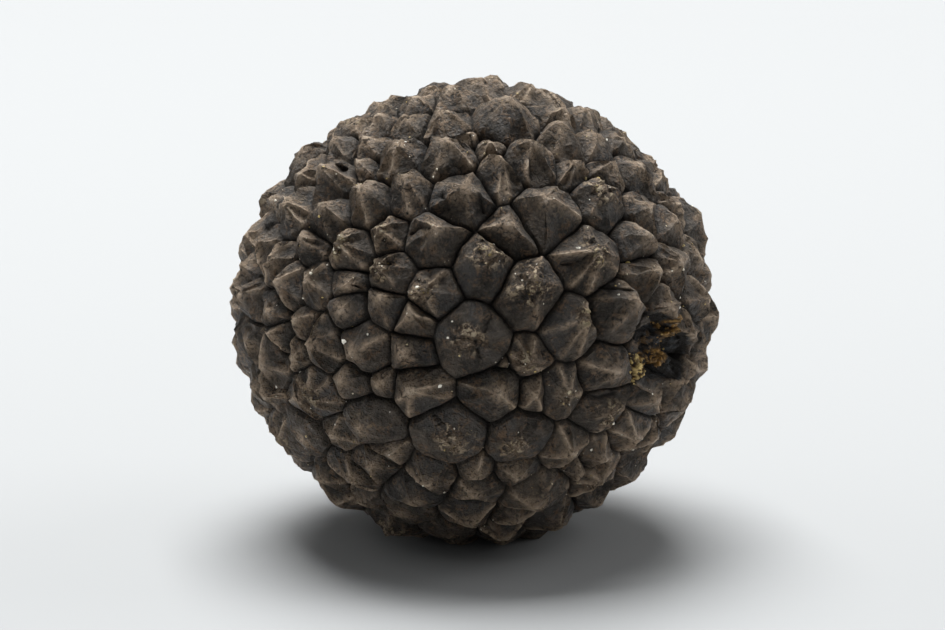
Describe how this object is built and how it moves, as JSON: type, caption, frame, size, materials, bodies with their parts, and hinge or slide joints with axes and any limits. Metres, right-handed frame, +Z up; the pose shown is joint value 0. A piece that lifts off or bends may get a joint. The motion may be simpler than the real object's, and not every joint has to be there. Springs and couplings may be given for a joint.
{
  "type": "black truffle",
  "caption": "Near-round whole black truffle with a dark rind of touching pyramid warts, resting on a small flat spot worn on its lowest warts; loose food prop.",
  "frame": {"origin": "middle of the flat resting spot under the lowest wart, in the resting plane Z = 0", "axes": "+Z up, -Y towards the front of the face, +X to the viewer's right"},
  "size_m": [0.0421, 0.0408, 0.0402],
  "materials": {
    "rind": "dry, matte to faintly waxy, dark grey-brown with browner crests",
    "grit": "tiny pale and ochre soil grains caught in the rind",
    "eaten_flesh": "dry ochre crumbs in the eaten wart"
  },
  "bodies": {
    "root": {"truffle": "rind"}
  },
  "joints": []
}
